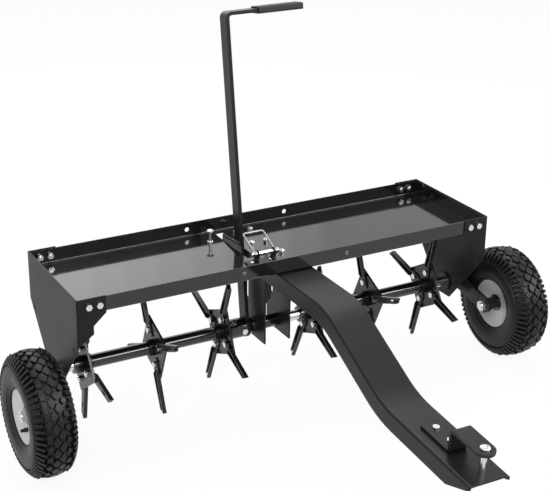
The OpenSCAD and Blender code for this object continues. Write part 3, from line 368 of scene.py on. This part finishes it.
def makeFloor():
    mesh = bpy.data.meshes.new("floor")
    half = stageLook["size"] / 2
    corners = [(-half, -half, 0), (half, -half, 0), (half, half, 0), (-half, half, 0)]
    mesh.from_pydata(corners, [], [(0, 1, 2, 3)])
    floor = bpy.data.objects.new("floor", mesh)
    bpy.context.collection.objects.link(floor)
    material = bpy.data.materials.new("paleFloor")
    material.use_nodes = True
    tree = material.node_tree
    tree.nodes.clear()
    output = addNode(tree, "ShaderNodeOutputMaterial")
    paint = addNode(tree, "ShaderNodeBsdfDiffuse", {"Color": linearColour(stageLook["floor"])})
    glow = addNode(tree, "ShaderNodeEmission", {"Color": (1, 1, 1, 1), "Strength": 1.0})
    path = addNode(tree, "ShaderNodeLightPath")
    seen = addNode(tree, "ShaderNodeMath", {"operation": "MAXIMUM"})
    tree.links.new(path.outputs["Is Camera Ray"], seen.inputs[0])
    tree.links.new(path.outputs["Is Glossy Ray"], seen.inputs[1])
    share = addNode(tree, "ShaderNodeMath", {"operation": "MULTIPLY"})
    tree.links.new(seen.outputs[0], share.inputs[0])
    share.inputs[1].default_value = stageLook["glow"]
    mix = addNode(tree, "ShaderNodeMixShader")
    tree.links.new(share.outputs[0], mix.inputs[0])
    tree.links.new(paint.outputs[0], mix.inputs[1])
    tree.links.new(glow.outputs[0], mix.inputs[2])
    tree.links.new(mix.outputs[0], output.inputs["Surface"])
    mesh.materials.append(material)


def makeWorld():
    world = bpy.data.worlds.new("studio")
    bpy.context.scene.world = world
    world.use_nodes = True
    tree = world.node_tree
    tree.nodes.clear()
    output = addNode(tree, "ShaderNodeOutputWorld")
    path = addNode(tree, "ShaderNodeLightPath")
    seen = addNode(tree, "ShaderNodeMath", {"operation": "MAXIMUM"})
    tree.links.new(path.outputs["Is Camera Ray"], seen.inputs[0])
    tree.links.new(path.outputs["Is Glossy Ray"], seen.inputs[1])
    through = addNode(tree, "ShaderNodeMath", {"operation": "MAXIMUM"})
    tree.links.new(seen.outputs[0], through.inputs[0])
    tree.links.new(path.outputs["Is Transmission Ray"], through.inputs[1])
    level = addNode(tree, "ShaderNodeMapRange", {"To Min": stageLook["fillStrength"], "To Max": 1.0},
                    {"Value": through.outputs[0]})
    sky = addNode(tree, "ShaderNodeBackground", {"Color": (1, 1, 1, 1)},
                  {"Strength": level.outputs["Result"]})
    tree.links.new(sky.outputs[0], output.inputs["Surface"])


def makeLamp(lamp):
    data = bpy.data.lights.new(lamp["name"], "AREA")
    data.energy = lamp["power"]
    data.shape = "RECTANGLE"
    data.size, data.size_y = lamp["size"]
    light = bpy.data.objects.new(lamp["name"], data)
    bpy.context.collection.objects.link(light)
    light.visible_camera = False
    light.visible_diffuse = not lamp.get("glintsOnly", False)
    light.location = lamp["place"]
    light.rotation_euler = (Vector(lamp["aim"]) - Vector(lamp["place"])).to_track_quat("-Z", "Y").to_euler()


def makeRearPanel():
    start, along = Vector(rearPanel["place"]), Vector(rearPanel["along"])
    for k in range(rearPanel["strips"] + 1):  # the first is the panel itself
        width = rearPanel["stripWidth"] if k else rearPanel["width"]
        shift = rearPanel["width"] / 2 + (k - 0.5) * width if k else 0.0
        share = 1 - k / (rearPanel["strips"] + 1)
        place = start + shift * along
        power = rearPanel["perArea"] * share * width * rearPanel["height"]
        makeLamp({"name": "rearLamp" + str(k), "place": place, "aim": place + Vector(rearPanel["toward"]),
                  "size": (width, rearPanel["height"]), "power": power})


makeFloor()
makeWorld()
for lamp in lamps:
    makeLamp(lamp)
makeRearPanel()
print("floor, world and lamps made")

# camera at the photograph's angle
view = {"sensor": 36, "farClip": 100, "azimuth": -28.17, "elevation": 22.76, "roll": 0.32, "distance": 2.5845,
        "target": (-0.2355, -0.0358, 0.5297), "lens": 87.64, "shift": (0.037, 0.0095)}


def makeCamera():
    data = bpy.data.cameras.new("camera")
    data.sensor_width = view["sensor"]
    data.lens = view["lens"]
    data.shift_x, data.shift_y = view["shift"]
    data.clip_end = view["farClip"]
    camera = bpy.data.objects.new("camera", data)
    bpy.context.collection.objects.link(camera)
    turn, rise = math.radians(view["azimuth"]), math.radians(view["elevation"])
    back = Vector((math.sin(turn) * math.cos(rise), -math.cos(turn) * math.cos(rise), math.sin(rise)))
    right = Vector((0, 0, 1)).cross(back).normalized()
    up = back.cross(right)
    roll = math.radians(view["roll"])
    right, up = right * math.cos(roll) + up * math.sin(roll), up * math.cos(roll) - right * math.sin(roll)
    axes = Matrix((right, up, back)).transposed().to_4x4()
    camera.matrix_world = Matrix.Translation(Vector(view["target"]) + back * view["distance"]) @ axes
    bpy.context.scene.camera = camera


makeCamera()
bpy.context.scene.view_settings.view_transform = "Standard"
print("camera set")
